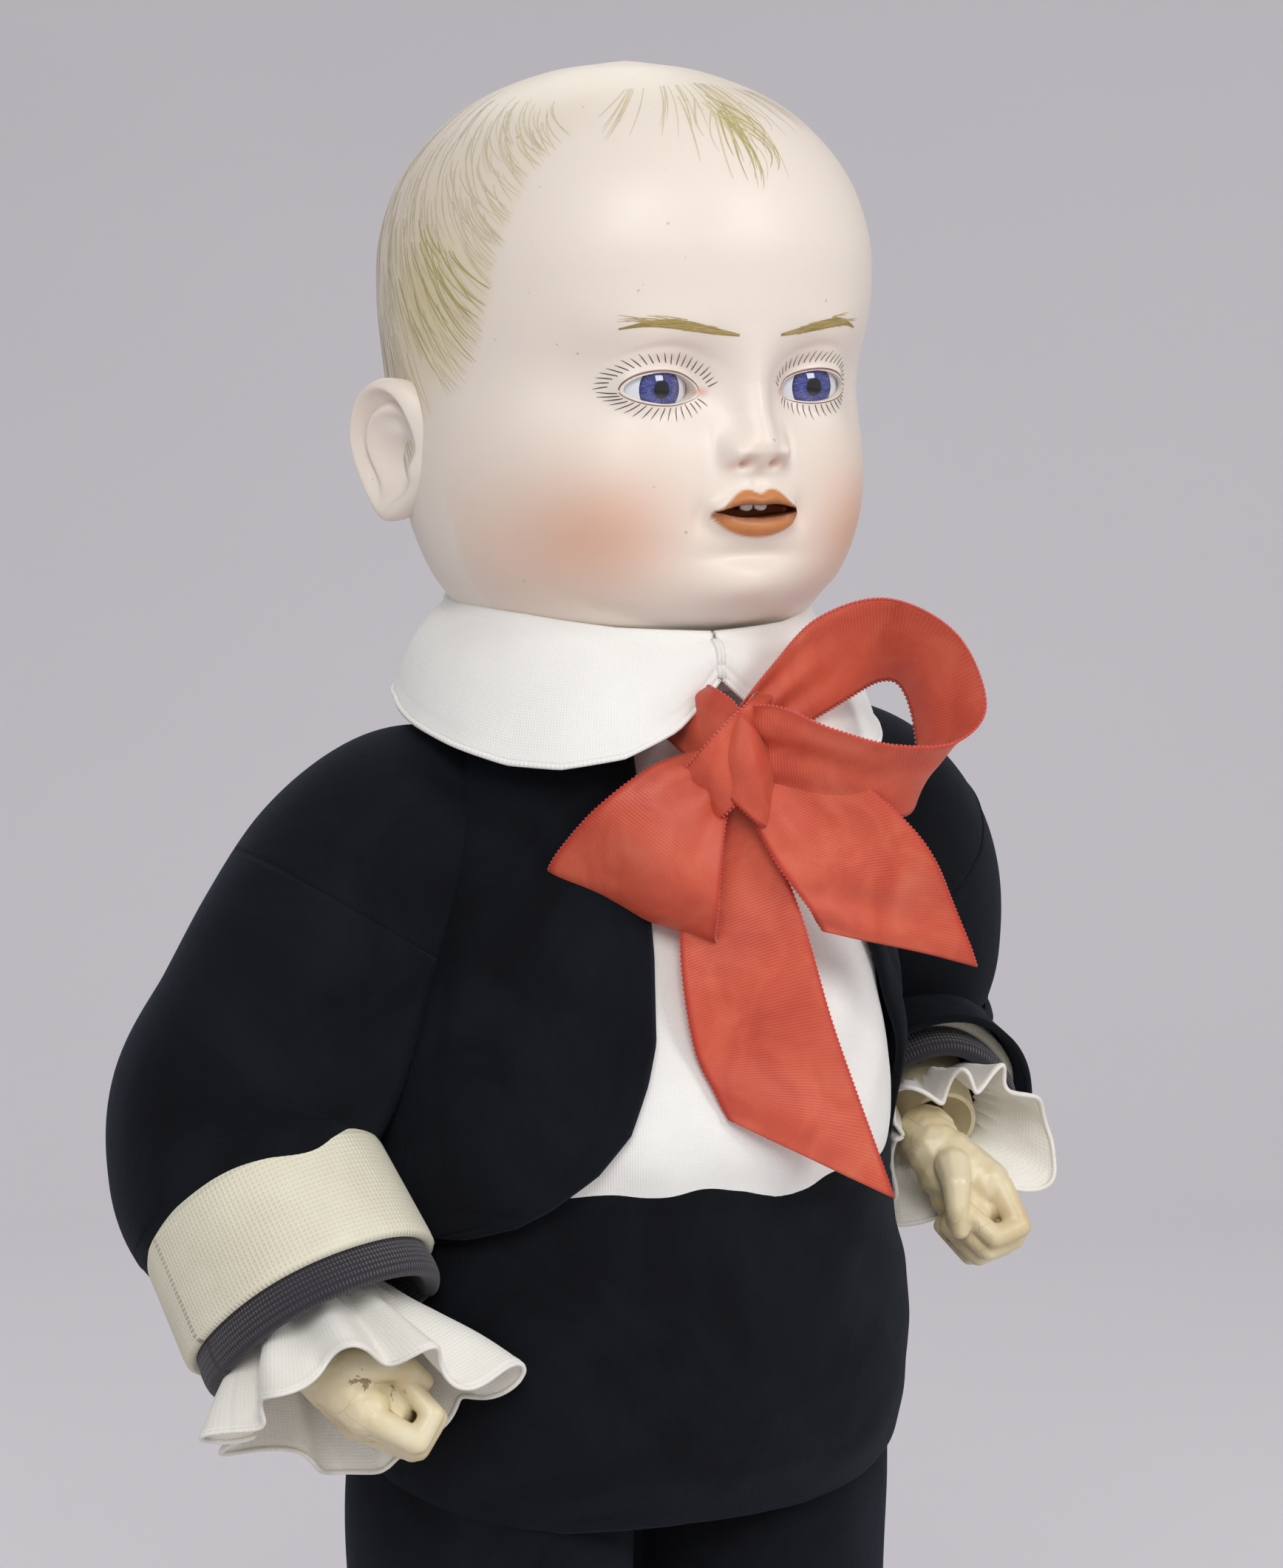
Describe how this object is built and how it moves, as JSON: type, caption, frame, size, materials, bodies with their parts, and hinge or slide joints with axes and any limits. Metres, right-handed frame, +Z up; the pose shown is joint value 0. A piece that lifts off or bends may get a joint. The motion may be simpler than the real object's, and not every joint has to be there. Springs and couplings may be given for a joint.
{
  "type": "porcelain-head doll",
  "caption": "Boy doll with a porcelain head, glass sleep eyes and an elastic-strung jointed body, dressed in a velvet suit, linen shirt and ribbon bow.",
  "frame": {"origin": "on the floor, under the middle of the doll's bounding box", "axes": "+Z up, the doll faces -Y, its own left is +X"},
  "size_m": [0.2155, 0.1225, 0.5],
  "materials": {
    "bisque": "unglazed, satin",
    "tooth_porcelain": "glossy",
    "mouth_lining": "matte plaster, painted dark",
    "plaster": "matte plaster",
    "cork": "matte",
    "eye_glass": "glossy blown glass",
    "wire": "drawn wire",
    "lead": "dull lead",
    "turned_wood": "painted, worn",
    "composition": "painted composition, worn",
    "elastic": "braided",
    "linen": "plain weave",
    "velvet": "pile",
    "ribbon": "satin",
    "cuff_linen": "plain weave",
    "lining_knit": "knitted",
    "frill_muslin": "gauze",
    "stocking_knit": "knitted",
    "shoe_leather": "polished",
    "sole_leather": "matte"
  },
  "bodies": {
    "torso": {"torso_front": "composition", "torso_back": "composition", "arm_elastic": "elastic", "leg_elastic": "elastic", "shirt_body": "linen", "shirt_collar": "linen", "jacket_body": "velvet", "bow_knot": "ribbon", "bow_loops": "ribbon", "bow_tails": "ribbon", "breeches": "velvet", "waistband": "velvet"},
    "neck": {"neck_button": "turned_wood", "neck_hook": "wire"},
    "head": {"head_shell": "bisque", "upper_teeth": "tooth_porcelain", "mouth_lining": "mouth_lining", "eye_plaster": "plaster", "cork_stop": "cork"},
    "eyes": {"eye_right": "eye_glass", "eye_left": "eye_glass", "eye_bar": "wire", "eye_weight": "lead"},
    "right_upper_arm": {"right_upper_arm": "turned_wood", "right_sleeve": "velvet"},
    "right_forearm": {"right_elbow_ball": "turned_wood", "right_forearm": "composition", "right_cuff_band": "cuff_linen", "right_sleeve_lining": "lining_knit", "right_frill": "frill_muslin"},
    "right_hand": {"right_hand": "composition", "right_hand_hook": "wire"},
    "left_upper_arm": {"left_upper_arm": "turned_wood", "left_sleeve": "velvet"},
    "left_forearm": {"left_elbow_ball": "turned_wood", "left_forearm": "composition", "left_cuff_band": "cuff_linen", "left_sleeve_lining": "lining_knit", "left_frill": "frill_muslin"},
    "left_hand": {"left_hand": "composition", "left_hand_hook": "wire"},
    "right_thigh": {"right_thigh": "turned_wood"},
    "right_lower_leg": {"right_knee_ball": "turned_wood", "right_lower_leg": "composition", "right_leg_hook": "wire", "right_stocking": "stocking_knit", "right_shoe_upper": "shoe_leather", "right_shoe_sole": "sole_leather", "right_shoe_strap": "shoe_leather"},
    "left_thigh": {"left_thigh": "turned_wood"},
    "left_lower_leg": {"left_knee_ball": "turned_wood", "left_lower_leg": "composition", "left_leg_hook": "wire", "left_stocking": "stocking_knit", "left_shoe_upper": "shoe_leather", "left_shoe_sole": "sole_leather", "left_shoe_strap": "shoe_leather"}
  },
  "joints": [
    {"name": "head_turn", "type": "hinge", "parent": "torso", "child": "neck", "pos_m": [0.0044, 0, 0.368], "axis": [0, 0, 1], "range_deg": [-32, 32], "deforming": ["leg_elastic"]},
    {"name": "head_nod", "type": "hinge", "parent": "neck", "child": "head", "pos_m": [0.0044, 0, 0.368], "axis": [0.9962, 0.0872, 0], "range_deg": [-2, 3]},
    {"name": "eyes_sleep", "type": "hinge", "parent": "head", "child": "eyes", "pos_m": [0.00715, -0.03138, 0.434], "axis": [0.9962, 0.0872, 0], "range_deg": [0, 50]},
    {"name": "right_shoulder_swing", "type": "hinge", "parent": "torso", "child": "right_upper_arm", "pos_m": [-0.0536, 0.002, 0.333], "axis": [1, 0, 0], "range_deg": [-75, 12], "deforming": ["right_sleeve", "arm_elastic", "right_cuff_band", "right_sleeve_lining", "right_frill"]},
    {"name": "right_elbow_bend", "type": "hinge", "parent": "right_upper_arm", "child": "right_forearm", "pos_m": [-0.08229, 0.00991, 0.28206], "axis": [-0.7453, -0.5795, 0.3297], "range_deg": [-60, 10], "deforming": ["right_sleeve", "arm_elastic", "right_cuff_band", "right_sleeve_lining", "right_frill"]},
    {"name": "right_wrist_turn", "type": "hinge", "parent": "right_forearm", "child": "right_hand", "pos_m": [-0.07456, -0.02165, 0.24405], "axis": [0.1546, -0.6312, -0.76], "range_deg": [-45, 45], "deforming": ["right_frill", "arm_elastic"]},
    {"name": "left_shoulder_swing", "type": "hinge", "parent": "torso", "child": "left_upper_arm", "pos_m": [0.0624, 0.002, 0.333], "axis": [1, 0, 0], "range_deg": [-60, 8], "deforming": ["left_sleeve", "arm_elastic", "left_cuff_band", "left_sleeve_lining", "left_frill"]},
    {"name": "left_elbow_bend", "type": "hinge", "parent": "left_upper_arm", "child": "left_forearm", "pos_m": [0.0856, 0.03755, 0.29202], "axis": [-0.9191, 0.2786, -0.2787], "range_deg": [-100, 0], "deforming": ["left_sleeve", "arm_elastic", "left_cuff_band", "left_sleeve_lining", "left_frill"]},
    {"name": "left_wrist_turn", "type": "hinge", "parent": "left_forearm", "child": "left_hand", "pos_m": [0.07838, -0.00727, 0.27106], "axis": [-0.1446, -0.8963, -0.4192], "range_deg": [-45, 45], "deforming": ["left_frill", "arm_elastic"]},
    {"name": "right_hip_swing", "type": "hinge", "parent": "torso", "child": "right_thigh", "pos_m": [-0.0266, 0.002, 0.214], "axis": [1, 0, 0], "range_deg": [-80, 8], "deforming": ["breeches", "leg_elastic", "right_stocking"]},
    {"name": "right_knee_bend", "type": "hinge", "parent": "right_thigh", "child": "right_lower_leg", "pos_m": [-0.0266, 0.002, 0.112], "axis": [1, 0, 0], "range_deg": [0, 85], "deforming": ["breeches", "leg_elastic", "right_stocking"]},
    {"name": "left_hip_swing", "type": "hinge", "parent": "torso", "child": "left_thigh", "pos_m": [0.0354, 0.002, 0.214], "axis": [1, 0, 0], "range_deg": [-80, 8], "deforming": ["breeches", "leg_elastic", "left_stocking"]},
    {"name": "left_knee_bend", "type": "hinge", "parent": "left_thigh", "child": "left_lower_leg", "pos_m": [0.0354, 0.002, 0.112], "axis": [1, 0, 0], "range_deg": [0, 85], "deforming": ["breeches", "leg_elastic", "left_stocking"]}
  ]
}
